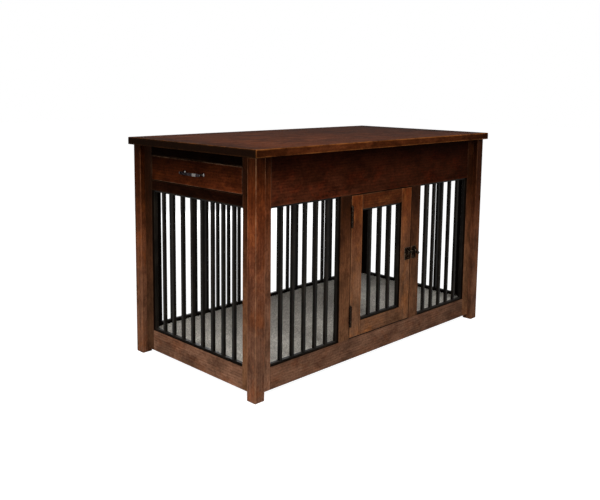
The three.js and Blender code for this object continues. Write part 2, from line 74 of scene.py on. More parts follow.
def feed(tree, node, inputs):
    """Gives a node its inputs, by their names or as a list in their order. Each is a value, a
    socket or a node, which stands for its first output. Sockets out of use don't count."""
    used = [socket for socket in node.inputs if socket.enabled]
    if isinstance(inputs, dict):
        used = [next(socket for socket in used if socket.name == name) for name in inputs]
        inputs = inputs.values()
    for socket, value in zip(used, inputs):
        if isinstance(value, bpy.types.Node):
            value = next(output for output in value.outputs if output.enabled)
        if isinstance(value, bpy.types.NodeSocket):
            tree.links.new(value, socket)
        else:
            socket.default_value = value


def add(tree, kind, inputs=(), **settings):
    """One node with its settings and its inputs."""
    node = tree.nodes.new(kind)
    for name, value in settings.items():
        setattr(node, name, value)
    feed(tree, node, inputs)
    return node


# ---- camera, floor and light


def place_camera():
    """The camera that the photograph was taken from, found from the corners of the table."""
    data = bpy.data.cameras.new("camera")
    data.sensor_width = 36
    data.lens = 44.43
    data.shift_x = 0.02115
    data.shift_y = -0.11667
    place = shift(-2.02509, -1.86679, 0.94339)
    heading, tilt, roll = turn(-44.7051, "Z"), turn(-7.3014, "X"), turn(-0.5327, "Y")
    camera = placed("camera", data)
    camera.matrix_world = place @ heading @ tilt @ roll @ turn(90, "X")
    bpy.context.scene.camera = camera


def seen_directly(tree):
    """1 for the camera's rays and for reflections of what stands behind the object, else 0."""
    rays = add(tree, "ShaderNodeLightPath").outputs
    seen = rays["Is Camera Ray"]
    for kind in ("Is Glossy Ray", "Is Transmission Ray"):
        seen = add(tree, MATH, [seen, rays[kind]], operation="MAXIMUM")
    return seen


def light_studio():
    """A white surround, level light from all round, and four soft boxes: over the near corner, in
    front, at the left end, and low behind the right end."""
    world = bpy.data.worlds.new("studio")
    bpy.context.scene.world = world
    world.use_nodes = True
    tree = world.node_tree
    tree.nodes.clear()
    level = add(tree, "ShaderNodeBackground", {"Color": (1, 1, 1, 1), "Strength": 0.13})
    white = add(tree, "ShaderNodeBackground", {"Color": (1, 1, 1, 1), "Strength": 1.0})
    mix = add(tree, "ShaderNodeMixShader", [seen_directly(tree), level, white])
    add(tree, "ShaderNodeOutputWorld", {"Surface": mix})
    middle = Vector((0, 0, 0.35))
    for name, place, size, power in [
        ("key_soft_box", (-1.25, -0.9, 2.4), 1.4, 50),
        ("front_soft_box", (0.6, -2.1, 2.3), 1.4, 31),
        ("side_soft_box", (-2.6, -0.4, 0.9), 1.0, 15),
        ("back_soft_box", (1.6, 2.4, 0.5), 0.5, 26),
    ]:
        lamp = bpy.data.lights.new(name, "AREA")
        lamp.size = size
        lamp.energy = power
        aim = (middle - Vector(place)).to_track_quat("-Z", "Y")
        placed(name, lamp).matrix_world = shift(*place) @ aim.to_matrix().to_4x4()
    bpy.context.scene.view_settings.view_transform = "Standard"


def lay_floor():
    """A pale floor that lights the table from below, and that shows white with a light shadow."""
    half_width = 15
    shape = bmesh.new()
    bmesh.ops.create_grid(shape, x_segments=1, y_segments=1, size=half_width)
    floor = placed("studio_floor", to_mesh("studio_floor", shape))
    material, tree, _ = new_material("painted studio floor")
    tree.nodes.clear()
    paint = add(tree, "ShaderNodeBsdfDiffuse", {"Color": (0.8, 0.8, 0.8, 1)})
    shown = add(tree, "ShaderNodeBsdfDiffuse", {"Color": (0.3, 0.3, 0.3, 1)})
    glow = add(tree, "ShaderNodeEmission", {"Color": (1, 1, 1, 1), "Strength": 0.97})
    white = add(tree, "ShaderNodeAddShader", [shown, glow])
    mix = add(tree, "ShaderNodeMixShader", [seen_directly(tree), paint, white])
    add(tree, "ShaderNodeOutputMaterial", {"Surface": mix})
    floor.data.materials.append(material)


# ---- materials


def linear(hex_colour):
    """A colour written as sRGB hex, as the linear RGBA that the shaders take."""
    channels = [int(hex_colour[i : i + 2], 16) / 255 for i in (0, 2, 4)]
    return (*[c / 12.92 if c <= 0.04045 else ((c + 0.055) / 1.055) ** 2.4 for c in channels], 1)


def new_material(name):
    """A material with its tree and its shader."""
    material = bpy.data.materials.new(name)
    material.use_nodes = True
    tree = material.node_tree
    return material, tree, tree.nodes["Principled BSDF"]


def glued_staves(tree, grain):
    """The grain of a board glued up from staves, each from its own place in the log."""
    width = 109 * MM
    spread = (3.0, 20 * MM, 30 * MM)
    across = add(tree, "ShaderNodeSeparateXYZ", [grain]).outputs[1]
    stave = add(tree, MATH, [across, width], operation="DIVIDE")
    stave = add(tree, MATH, [stave], operation="FLOOR")
    log = add(tree, "ShaderNodeTexWhiteNoise", {"W": stave}, noise_dimensions="1D").outputs["Color"]
    return add(tree, "ShaderNodeVectorMath", [log, spread, grain], operation="MULTIPLY_ADD")


def growth_rings(tree, grain, heart, stretch, pitch, look):
    """The log's rings, a pitch apart round its heart and drawn out along the grain."""
    pitch_at_scale_1 = 0.314
    place = add(tree, "ShaderNodeMapping", {"Vector": grain, "Location": heart, "Scale": (stretch, 1, 1)})
    look = {"Vector": place, "Scale": pitch_at_scale_1 / pitch, "Detail": 3.0, **look}
    return add(tree, "ShaderNodeTexWave", look, wave_type="RINGS", rings_direction="X").outputs["Fac"]


def stained_maple(
    boards, foot, head, glow, arris, wear_and_highlight, reach=1.2 * MM, shine=0.015,
    painted_light_heights=(0.08, 0.7), under=(0.57, 0.71), painted_falloff=None, staves=False,
):
    """Brown maple under a dark wiping stain and a satin lacquer.

    Between two given heights the colour goes from the foot's to the head's: painted light low
    down, as from a pale floor, and painted shade higher up. Over the length of a falloff it
    deepens to that share of the colour, as painted shade away from the lamps. Under the overhang
    of the top it darkens further, as the top's painted shadow. The stain takes unevenly, so the
    face is cloudy, with lights that glow between dark patches, thin streaks along the grain and
    short pores. In reach of an arris the colour is pale: sanding has thinned the stain, and a
    painted highlight shows where the rounded edge catches the light. Faces inside the table and
    in its openings are painted shade, nearly black, and each board keeps only its lit share of
    the rest of its colour, the remainder painted shade too. A top is glued up from staves that
    differ a little, and is darker towards its ends."""
    material, tree, shader = new_material(f"stained maple, {boards}")
    grain, low, high = [
        add(tree, "ShaderNodeAttribute", attribute_name=label).outputs["Vector"]
        for label in ("grain", "from_low", "from_high")
    ]
    if staves:
        grain = glued_staves(tree, grain)
    marks = []
    # By their length and width in millimetres: clouds of stain, lights where the figure turns up,
    # streaks of early wood, pores, coarser than they are so that they show, and mottle.
    for along, across, look in [
        (110, 60, {"Detail": 6.0, "Roughness": 0.72, "Distortion": 0.4}),
        (70, 40, {"Detail": 6.0, "Roughness": 0.65, "Distortion": 0.5}),
        (60, 1.6, {"Detail": 3.0, "Roughness": 0.6}),
        (6, 0.5, {"Detail": 1.0}),
        (9, 6, {"Detail": 2.0}),
    ]:
        scale = (1 / (along * MM), 1 / (across * MM), 1 / (across * MM))
        place = add(tree, "ShaderNodeMapping", {"Vector": grain, "Scale": scale})
        marks.append(add(tree, NOISE, {"Vector": place, "Scale": 1.0, **look}))
    cloud, curl, streak, pore, mottle = marks
    ringed = {"Distortion": 2.2, "Detail Scale": 0.7, "Detail Roughness": 0.6}
    rings = growth_rings(tree, grain, (0, 0.11, 0.045), 0.06, 9 * MM, ringed)

    # The stain's colour by height, painted light low down and painted shade above, and its lights.
    place = add(tree, "ShaderNodeTexCoord").outputs["Object"]
    height = add(tree, "ShaderNodeSeparateXYZ", [place]).outputs[2]
    painted_shade_by_height = add(tree, RANGE, {"Value": height, "From Min": painted_light_heights[0], "From Max": painted_light_heights[1]}, **SMOOTH)
    stain = add(tree, MIX, [painted_shade_by_height, linear(foot), linear(head)], **COLOURS)
    glowing = add(tree, RANGE, {"Value": curl, "From Min": 0.46, "From Max": 0.74, "To Max": 0.6}, **SMOOTH)
    stain = add(tree, MIX, [glowing, stain, linear(glow)], **COLOURS)

    # Its shade: rings, streaks and mottle, and all that makes a whole region darker.
    line = add(tree, MATH, [rings, 0.2, streak], operation="MULTIPLY_ADD")
    line = add(tree, MATH, [mottle, 0.9, line], operation="MULTIPLY_ADD")
    lined = {"Value": line, "From Min": 0.7, "From Max": 1.4}
    shade = add(tree, RANGE, {**lined, "To Min": 1.4, "To Max": 0.6})
    near = add(tree, "ShaderNodeVectorMath", [low, high], operation="MINIMUM")
    x, y, z = add(tree, "ShaderNodeSeparateXYZ", [near]).outputs
    cloudy = {"Value": cloud, "From Min": 0.32, "From Max": 0.68, "To Min": 0.52, "To Max": 1.38}
    regions = [add(tree, RANGE, cloudy, **SMOOTH)]
    if staves:
        # A top is darker within 150 mm of its ends.
        regions.append(add(tree, RANGE, {"Value": x, "From Max": 0.15, "To Min": 0.35}, **SMOOTH))
    if painted_falloff:
        # Painted shade, darker over a given length away from the lamps at the left and front, to a share.
        length, share = painted_falloff
        away = add(tree, "ShaderNodeVectorMath", [low, (1, 1, 0)], operation="DOT_PRODUCT")
        falloff_darkening = {"Value": away, "From Max": length, "To Min": 1.0, "To Max": share}
        regions.append(add(tree, RANGE, falloff_darkening))
    if not staves:
        # Painted shadow of the top's overhang, darker between two heights towards the top.
        start, end = under
        painted_top_shadow = {"Value": height, "From Min": start, "From Max": end, "To Min": 1.0, "To Max": 0.2}
        regions.append(add(tree, RANGE, painted_top_shadow, **SMOOTH))
    for region in regions:
        shade = add(tree, MATH, [shade, region], operation="MULTIPLY")
    stain = add(tree, MIX, [1.0, stain, shade], blend_type="MULTIPLY", **COLOURS)
    pitted = add(tree, RANGE, {"Value": pore, "From Min": 0.58, "From Max": 0.7, "To Max": 0.5}, **SMOOTH)
    pit = (*[channel * 0.3 for channel in linear(head)[:3]], 1)
    stain = add(tree, MIX, [pitted, stain, pit], **COLOURS)

    # The distance to the nearest arris: of the distances to the faces, the middle one.
    less = add(tree, MATH, [x, y], operation="MINIMUM")
    more = add(tree, MATH, [x, y], operation="MAXIMUM")
    more = add(tree, MATH, [more, z], operation="MINIMUM")
    middle = add(tree, MATH, [less, more], operation="MAXIMUM")
    # Stain worn thin there, and painted highlight where the rounded arris catches the light,
    # raggedly along the streaks and only in some clouds.
    ragged = add(tree, MATH, [streak, -4 * MM, middle], operation="MULTIPLY_ADD")
    worn_and_highlit = {"Value": ragged, "From Min": -1.4 * MM, "From Max": reach, "To Min": wear_and_highlight, "To Max": 0}
    worn_and_highlit = add(tree, RANGE, worn_and_highlit, **SMOOTH)
    broken = add(tree, RANGE, {"Value": cloud, "From Min": 0.36, "From Max": 0.6})
    worn_and_highlit = add(tree, MATH, [worn_and_highlit, broken], operation="MULTIPLY")
    outside = add(tree, MIX, [worn_and_highlit, stain, linear(arris)], **COLOURS)
    # Painted shade, nearly black, where the face is not on the outside of the table, and over the
    # part of each board's colour that lies outside its lit share.
    unshaded_share = add(tree, "ShaderNodeAttribute", attribute_name="unshaded_share").outputs["Fac"]
    colour = add(tree, MIX, [unshaded_share, linear("120a06"), outside], **COLOURS)

    gloss = add(tree, RANGE, {**lined, "To Min": 0.5, "To Max": 0.62})
    relief = add(tree, MATH, [pitted, -1.0, streak], operation="MULTIPLY_ADD")
    bump = add(tree, "ShaderNodeBump", {"Height": relief, "Strength": 0.3, "Distance": 0.15 * MM})
    feed(tree, shader, {"Base Color": colour, "Roughness": gloss, "Normal": bump})
    feed(tree, shader, {"IOR": 1.4, "Specular IOR Level": shine})
    return material


def bare_wood(name, early, late):
    """Birch and poplar with no stain, planed and left bare: pale, with soft brown rings."""
    material, tree, shader = new_material(name)
    grain = add(tree, "ShaderNodeAttribute", attribute_name="grain").outputs["Vector"]
    ringed = {"Distortion": 1.8, "Detail Scale": 0.6}
    rings = growth_rings(tree, grain, (0, 0.16, 0.06), 0.05, 6 * MM, ringed)
    length, width = 25 * MM, 0.8 * MM
    scale = (1 / length, 1 / width, 1 / width)
    place = add(tree, "ShaderNodeMapping", {"Vector": grain, "Scale": scale})
    fibre = add(tree, NOISE, {"Vector": place, "Scale": 1.0, "Detail": 3.0, "Roughness": 0.65})
    figure = add(tree, MATH, [rings, 0.55, fibre], operation="MULTIPLY_ADD")
    depth = add(tree, RANGE, {"Value": figure, "From Min": 0.35, "From Max": 1.15}, **SMOOTH)
    colour = add(tree, MIX, [depth, linear(early), linear(late)], **COLOURS)
    bump = add(tree, "ShaderNodeBump", {"Height": fibre, "Strength": 0.35, "Distance": 0.12 * MM})
    feed(tree, shader, {"Base Color": colour, "Roughness": 0.62, "Normal": bump})
    feed(tree, shader, {"Specular IOR Level": 0.35})
    return material


def powder_coated_steel(name, colour, paler_tone):
    """Welded mild steel under a satin black powder coat: a very fine orange peel, a soft sheen,
    and a browner tone where the coat is thin."""
    material, tree, shader = new_material(name)
    place = add(tree, "ShaderNodeTexCoord").outputs["Object"]
    crest_to_crest, patch_width = 1.4 * MM, 60 * MM
    peel = add(tree, NOISE, {"Vector": place, "Scale": 1 / crest_to_crest, "Detail": 2.0, "Roughness": 0.5})
    patch = add(tree, NOISE, {"Vector": place, "Scale": 1 / patch_width, "Detail": 4.0, "Roughness": 0.6})
    thin = add(tree, RANGE, {"Value": patch, "From Min": 0.4, "From Max": 0.7}, **SMOOTH)
    coat = add(tree, MIX, [thin, linear(colour), linear(paler_tone)], **COLOURS)
    gloss = {"Value": patch, "From Min": 0.3, "From Max": 0.7, "To Min": 0.42, "To Max": 0.55}
    gloss = add(tree, RANGE, gloss)
    bump = add(tree, "ShaderNodeBump", {"Height": peel, "Strength": 0.35, "Distance": 0.05 * MM})
    feed(tree, shader, {"Base Color": coat, "Roughness": gloss, "Normal": bump, "Specular IOR Level": 0.06})
    return material


def plated_metal(name, colour, worn_and_highlit, roughness, brush):
    """Plated and lacquered metal. The plating is drawn with brush lines, 0.3 mm apart and brush
    times as long, and is worn to the paler metal below it in spots about 4 mm across and along
    the edges."""
    material, tree, shader = new_material(name)
    place = add(tree, "ShaderNodeTexCoord").outputs["Object"]
    pitch, spot = 0.3 * MM, 4 * MM
    scale = (1 / pitch, 1 / (pitch * brush), 1 / pitch)
    drawn = add(tree, "ShaderNodeMapping", {"Vector": place, "Scale": scale})
    lines = add(tree, NOISE, {"Vector": drawn, "Scale": 1.0, "Detail": 2.0})
    wear_and_highlight = add(tree, NOISE, {"Vector": place, "Scale": 1 / spot, "Detail": 5.0, "Roughness": 0.65})
    # Paler where worn, in spots and on rounded edges, and as painted highlight on the faces a pull marks as
    # edge.
    edge = add(tree, "ShaderNodeAttribute", attribute_name="edge").outputs["Fac"]
    bright_mask = add(tree, MATH, [edge, 0.3, wear_and_highlight], operation="MULTIPLY_ADD")
    bare = add(tree, RANGE, {"Value": bright_mask, "From Min": 0.52, "From Max": 0.85}, **SMOOTH)
    surface = add(tree, MIX, [bare, linear(colour), linear(worn_and_highlit)], **COLOURS)
    least, most = roughness - 0.06, roughness + 0.08
    gloss = {"Value": lines, "From Min": 0.25, "From Max": 0.75, "To Min": least, "To Max": most}
    gloss = add(tree, RANGE, gloss)
    bump = add(tree, "ShaderNodeBump", {"Height": lines, "Strength": 0.2, "Distance": 0.03 * MM})
    feed(tree, shader, {"Base Color": surface, "Roughness": gloss, "Normal": bump})
    feed(tree, shader, {"Specular Tint": surface, "Metallic": 1.0})
    return material


def cut_pile(name, root, tip):
    """Polypropylene cut pile, heather grey: dark between the tufts, paler at their tips, with
    trodden and brushed patches about 120 mm across, and with a soft sheen where the ends of the
    yarn, drawn 1.5 mm thick, catch the light."""
    material, tree, shader = new_material(name)
    place = add(tree, "ShaderNodeTexCoord").outputs["Object"]
    patch, thickness = 120 * MM, 1.5 * MM
    nap = add(tree, NOISE, {"Vector": place, "Scale": 1 / patch, "Detail": 3.0, "Roughness": 0.55})
    yarn = add(tree, NOISE, {"Vector": place, "Scale": 1 / thickness, "Detail": 3.0, "Roughness": 0.7})
    tuft = add(tree, "ShaderNodeAttribute", attribute_name="tuft").outputs["Fac"]
    heather = add(tree, MATH, [tuft, 0.55, yarn], operation="MULTIPLY_ADD")
    mixed = add(tree, MATH, [nap, 0.6, heather], operation="MULTIPLY_ADD")
    step = add(tree, RANGE, {"Value": mixed, "From Min": 0.55, "From Max": 1.5})
    colour = add(tree, MIX, [step, linear(root), linear(tip)], **COLOURS)
    bump = add(tree, "ShaderNodeBump", {"Height": yarn, "Strength": 0.6, "Distance": 0.6 * MM})
    feed(tree, shader, {"Base Color": colour, "Roughness": 0.95, "Normal": bump})
    feed(tree, shader, {"Specular IOR Level": 0.15, "Sheen Weight": 0.25, "Sheen Roughness": 0.5})
    return material


# Each finish by the material slot that it fills. A wood has the colours of its stain at the foot
# and at the head of the table, painted light low down and painted shade above, and in the lights,
# and the colour of its arrises and how much of it shows, as wear and as painted highlight.
FINISH = {
    "top_wood": stained_maple(
        "table top", "48220e", "48220e", "68381e", "8c5428", 0.85,
        reach=3 * MM, shine=0.004, painted_falloff=(1.4, 0.5), staves=True,
    ),
    "leg_wood": stained_maple("legs", "644433", "662e12", "844623", "9a7050", 0.7),
    "rail_wood": stained_maple("rails", "785541", "602c12", "704026", "80604a", 0.2),
    "apron_wood": stained_maple(
        "aprons", "422012", "582a18", "6c2812", "6a4630", 0.2,
        shine=0.004, painted_light_heights=(0.59, 0.7), painted_falloff=(1.2, 0.3),
    ),
    "door_wood": stained_maple("door", "6e4c36", "5a280d", "8e542a", "8e6242", 0.7, painted_light_heights=(0.2, 0.62)),
    "drawer_wood": stained_maple(
        "drawer", "5e2b15", "5e2b15", "8a441c", "9a7a60", 0.42, shine=0.004, painted_falloff=(0.47, 0.35)
    ),
    "plain_wood": bare_wood("bare birch and poplar", "c79f6c", "93683c"),
    "black_steel": powder_coated_steel("powder coated steel", "0e0b08", "1e1914"),
    "dark_bronze": plated_metal("dark bronze plating", "1e1611", "8a7864", 0.36, 6),
    "dark_nickel": plated_metal("dark nickel plating", "2a2528", "7e7a77", 0.38, 30),
    "zinc_steel": plated_metal("zinc plated steel", "9c9d9f", "c4c4c2", 0.34, 20),
    "carpet": cut_pile("polypropylene cut pile", "a6a198", "fbf7ee"),
}
# Copies of a slot's finish for boards given painted shade: the far legs, the recessed stiles and
# jambs, with the top's painted shadow reaching lower, and the rails by the drawer, near black.
SHADED_FAR_LEG = stained_maple("far legs", "6c4834", "5c2a0e", "743c18", "805238", 0.4, under=(0.35, 0.66))
SHADED_STILE = stained_maple(
    "stiles and jambs", "6e4a32", "5e2e12", "70422a", "80604a", 0.2, under=(0.28, 0.62)
)
SHADED_DRAWER_RAIL = stained_maple(
    "rails by the drawer", "180904", "180904", "2c140a", "4a3626", 0.25, shine=0.002
)

# ---- shapes


def centre(low, high):
    """The middle of a box, as its x, y and z."""
    return [(a + b) / 2 for a, b in zip(low, high)]


def moved(shape, *steps):
    """The shape after these turns and moves, the first one first."""
    for step in steps:
        shape.transform(step)
    return shape


def plain_box(low, high):
    """A box with sharp edges."""
    shape = bmesh.new()
    bmesh.ops.create_cube(shape, size=1)
    for vertex in shape.verts:
        vertex.co = [low[i] if vertex.co[i] < 0 else high[i] for i in range(3)]
    return shape


def rounded(shape, edges, radius, segments):
    """The shape with these edges rounded over. The rounded faces carry edge = 1."""
    eased = bmesh.ops.bevel(
        shape, geom=edges, offset=radius, segments=segments, profile=0.5, affect="EDGES"
    )
    edge = shape.faces.layers.float["edge"]
    for face in eased["faces"]:
        face[edge] = 1
    return shape


def eased_box(low, high, radius, segments=3):
    """A box whose edges are rounded over."""
    shape = plain_box(low, high)
    shape.faces.layers.float.new("edge")
    return rounded(shape, shape.edges[:], radius, segments)


def extruded(outline, z0, z1, radius=0.0, segments=2):
    """A flat outline of (x, y) points made solid from z0 to z1, with its end edges rounded."""
    shape = bmesh.new()
    shape.faces.layers.float.new("edge")
    face = shape.faces.new([shape.verts.new((x, y, z0)) for x, y in outline])
    copy = bmesh.ops.extrude_face_region(shape, geom=[face], use_keep_orig=True)
    for item in copy["geom"]:
        if isinstance(item, bmesh.types.BMVert):
            item.co.z = z1
    bmesh.ops.recalc_face_normals(shape, faces=shape.faces)
    if radius:
        ends = [e for e in shape.edges if e.verts[0].co.z == e.verts[1].co.z]
        rounded(shape, ends, radius, segments)
    return shape


def turned(profile, sides=32, ring=False):
    """A shape turned round Z from points of (radius, height), or a ring if its profile closes."""
    shape = bmesh.new()
    angles = [2 * math.pi * i / sides for i in range(sides)]
    rows = []
    for radius, height in profile:
        if radius == 0:
            rows.append([shape.verts.new((0, 0, height))] * sides)
        else:
            places = [(radius * math.cos(a), radius * math.sin(a), height) for a in angles]
            rows.append([shape.verts.new(place) for place in places])
    if ring:
        rows.append(rows[0])
    for lower, upper in zip(rows, rows[1:]):
        for i in range(sides):
            j = (i + 1) % sides
            corners = list(dict.fromkeys((lower[i], lower[j], upper[j], upper[i])))
            if len(corners) > 2:
                shape.faces.new(corners)
    bmesh.ops.recalc_face_normals(shape, faces=shape.faces)
    return shape


def swept(path, section):
    """A section of (side, up) points carried along a flat path of (x, y, size), closed at its
    ends."""
    shape = bmesh.new()
    rows = []
    for i, (x, y, size) in enumerate(path):
        before = path[max(i - 1, 0)]
        after = path[min(i + 1, len(path) - 1)]
        along = Vector((after[0] - before[0], after[1] - before[1])).normalized()
        places = [(x + along.y * s * size, y - along.x * s * size, u * size) for s, u in section]
        rows.append([shape.verts.new(place) for place in places])
    for lower, upper in zip(rows, rows[1:]):
        for i in range(len(section)):
            j = (i + 1) % len(section)
            shape.faces.new((lower[i], lower[j], upper[j], upper[i]))
    shape.faces.new(rows[0])
    shape.faces.new(rows[-1])
    bmesh.ops.recalc_face_normals(shape, faces=shape.faces)
    return shape


def arc(radius, start, end, steps):
    """Points on a circle about the origin, from one angle to another."""
    angles = [start + (end - start) * i / steps for i in range(steps + 1)]
    return [(radius * math.cos(angle), radius * math.sin(angle)) for angle in angles]


def rounded_outline(width, height, radius, steps=5):
    """Points round a rectangle about the origin, with quarter circles for corners."""
    points = []
    for quarter, (sx, sy) in enumerate([(1, 1), (-1, 1), (-1, -1), (1, -1)]):
        x, y = sx * (width / 2 - radius), sy * (height / 2 - radius)
        for i in range(steps + 1):
            angle = math.pi / 2 * (quarter + i / steps)
            points.append((x + radius * math.cos(angle), y + radius * math.sin(angle)))
    return points


def to_mesh(name, *shapes):
    """One mesh of these shapes."""
    whole = bmesh.new()
    for shape in shapes:
        part = bpy.data.meshes.new("part")
        shape.to_mesh(part)
        shape.free()
        whole.from_mesh(part)
        bpy.data.meshes.remove(part)
    mesh = bpy.data.meshes.new(name)
    whole.to_mesh(mesh)
    whole.free()
    return mesh


def from_mesh(mesh):
    """A shape of its own, the same as the mesh."""
    shape = bmesh.new()
    shape.from_mesh(mesh)
    return shape


def evaluated(thing):
    """The object's own mesh becomes what its modifiers make of it, and they are removed."""
    bpy.context.view_layer.update()
    graph = bpy.context.evaluated_depsgraph_get()
    made = thing.evaluated_get(graph)
    mesh = bpy.data.meshes.new_from_object(made, preserve_all_data_layers=True, depsgraph=graph)
    thing.modifiers.clear()
    thing.data = mesh
    return mesh


def carved(shape, *tools):
    """The shape with the tools cut out of it."""
    thing = placed("carving", to_mesh("carving", shape))
    cutters = [placed("cutter", to_mesh("cutter", tool)) for tool in tools]
    for cutter in cutters:
        step = thing.modifiers.new("cut", "BOOLEAN")
        step.operation = "DIFFERENCE"
        step.solver = "EXACT"
        step.object = cutter
    result = from_mesh(evaluated(thing))
    for used in [thing, *cutters]:
        bpy.data.objects.remove(used)
    return result


def make_piece(name, mesh, slot, body, *nodes, finish=None):
    """A finished piece: its material, what it rides on and which nodes it stands for. Its rounded
    edges shade smoothly into flat faces that stay flat."""
    mesh.materials.clear()
    mesh.materials.append(finish or FINISH[slot])
    mesh.polygons.foreach_set("material_index", [0] * len(mesh.polygons))
    mesh.polygons.foreach_set("use_smooth", [True] * len(mesh.polygons))
    piece = placed(name, mesh)
    shading = piece.modifiers.new("flat faces stay flat", "WEIGHTED_NORMAL")
    shading.weight = 90
    evaluated(piece).name = name
    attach(piece, body)
    if nodes:
        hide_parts(*nodes)
    return piece


# ---- what repeats


def new_tree(name, inputs):
    """A tree that takes and gives geometry and has these named inputs, with what it is given."""
    tree = bpy.data.node_groups.new(name, "GeometryNodeTree")
    tree.interface.new_socket("Geometry", in_out="OUTPUT", socket_type="NodeSocketGeometry")
    inputs = {"Geometry": "Geometry", **inputs, "Place": "Vector", "Turn": "Vector"}
    for label, kind in {**inputs, "Material": "Material"}.items():
        tree.interface.new_socket(label, in_out="INPUT", socket_type=f"NodeSocket{kind}")
    return tree, add(tree, "NodeGroupInput").outputs


def end_tree(tree, geometry, given):
    """Makes the copies real, puts them in their place and gives them their material."""
    real = add(tree, "GeometryNodeRealizeInstances", {"Geometry": geometry})
    there = {"Geometry": real, "Translation": given["Place"], "Rotation": given["Turn"]}
    there = add(tree, "GeometryNodeTransform", there)
    finished = add(tree, "GeometryNodeSetMaterial", {"Geometry": there, "Material": given["Material"]})
    add(tree, "NodeGroupOutput", {"Geometry": finished})


def grown(tree, mesh, slot, **sizes):
    """What the tree makes of a mesh with these sizes, as a plain mesh."""
    thing = placed("grown", mesh)
    modifier = thing.modifiers.new(tree.name, "NODES")
    modifier.node_group = tree
    sizes["Material"] = FINISH[slot]
    for socket in tree.interface.items_tree:
        if socket.in_out == "INPUT" and socket.name in sizes:
            modifier[socket.identifier] = sizes[socket.name]
    result = evaluated(thing)
    bpy.data.objects.remove(thing)
    return result


def row_tree():
    """A mesh repeated along a straight line, as knuckles on a pin or screws along a leaf."""
    tree, given = new_tree("row", {"Count": "Int", "Step": "Vector"})
    line = add(tree, "GeometryNodeMeshLine", {"Count": given["Count"], "Offset": given["Step"]})
    copies = {"Points": line, "Instance": given["Geometry"]}
    end_tree(tree, add(tree, "GeometryNodeInstanceOnPoints", copies), given)
    return tree


# The thickness of the square bar that a grille's tree stretches into all of its bars.
BAR_STOCK = 10 * MM


def grille_tree():
    """A welded grille, upright in the XZ plane with its foot at the origin, from one piece of bar
    stock that is a metre long and stands on the origin."""
    lengths = dict.fromkeys(("Width", "Height", "Depth", "Edge", "Bar", "Bead"), "Float")
    tree, given = new_tree("grille", {**lengths, "Bars": "Int"})
    edge, bar, height, bars = given["Edge"], given["Bar"], given["Height"], given["Bars"]
    inside = add(tree, MATH, [edge, -2.0, given["Width"]], operation="MULTIPLY_ADD")
    clear = add(tree, MATH, [edge, -2.0, height], operation="MULTIPLY_ADD")
    steel = add(tree, MATH, [bars, bar], operation="MULTIPLY")
    free = add(tree, MATH, [inside, steel], operation="SUBTRACT")
    gaps = add(tree, MATH, [bars, 1.0], operation="ADD")
    gap = add(tree, MATH, [free, gaps], operation="DIVIDE")
    pitch = add(tree, MATH, [gap, bar], operation="ADD")
    left = add(tree, MATH, [inside, -0.5], operation="MULTIPLY")
    reach = add(tree, MATH, [bar, 0.5, gap], operation="MULTIPLY_ADD")
    first = add(tree, MATH, [left, reach], operation="ADD")
    low = add(tree, MATH, [edge, 0.5], operation="MULTIPLY")
    high = add(tree, MATH, [height, low], operation="SUBTRACT")
    post = add(tree, MATH, [left, low], operation="SUBTRACT")
    post_step = add(tree, MATH, [inside, edge], operation="ADD")
    rail_step = add(tree, MATH, [high, low], operation="SUBTRACT")
    bar_length = add(tree, MATH, [clear, edge], operation="ADD")
    bar_scale, edge_scale, depth_scale = [
        add(tree, MATH, [thickness, 1 / BAR_STOCK], operation="MULTIPLY")
        for thickness in (bar, edge, given["Depth"])
    ]
    stock = given["Geometry"]
    bead = add(tree, "GeometryNodeMeshUVSphere", {"Segments": 12, "Rings": 6, "Radius": given["Bead"]})
    flattened = (1, 0.9, 0.3)
    whole = add(tree, "GeometryNodeJoinGeometry")
    for shape, count, start, step, scale, lean in [
        (stock, bars, (first, 0, low), (pitch, 0, 0), (bar_scale, bar_scale, bar_length), 0),
        (stock, 2, (post, 0, 0), (post_step, 0, 0), (edge_scale, depth_scale, height), 0),
        (stock, 2, (left, 0, low), (0, 0, rail_step), (edge_scale, depth_scale, inside), 90),
        (bead, bars, (first, 0, edge), (pitch, 0, 0), flattened, 0),
        (bead, bars, (first, 0, bar_length), (pitch, 0, 0), flattened, 0),
    ]:
        start, step, scale = [add(tree, "ShaderNodeCombineXYZ", xyz) for xyz in (start, step, scale)]
        line = add(tree, "GeometryNodeMeshLine", {"Count": count, "Start Location": start, "Offset": step})
        copies = {"Points": line, "Instance": shape, "Scale": scale}
        copies["Rotation"] = (0, math.radians(lean), 0)
        feed(tree, whole, [add(tree, "GeometryNodeInstanceOnPoints", copies)])
    end_tree(tree, whole, given)
    return tree


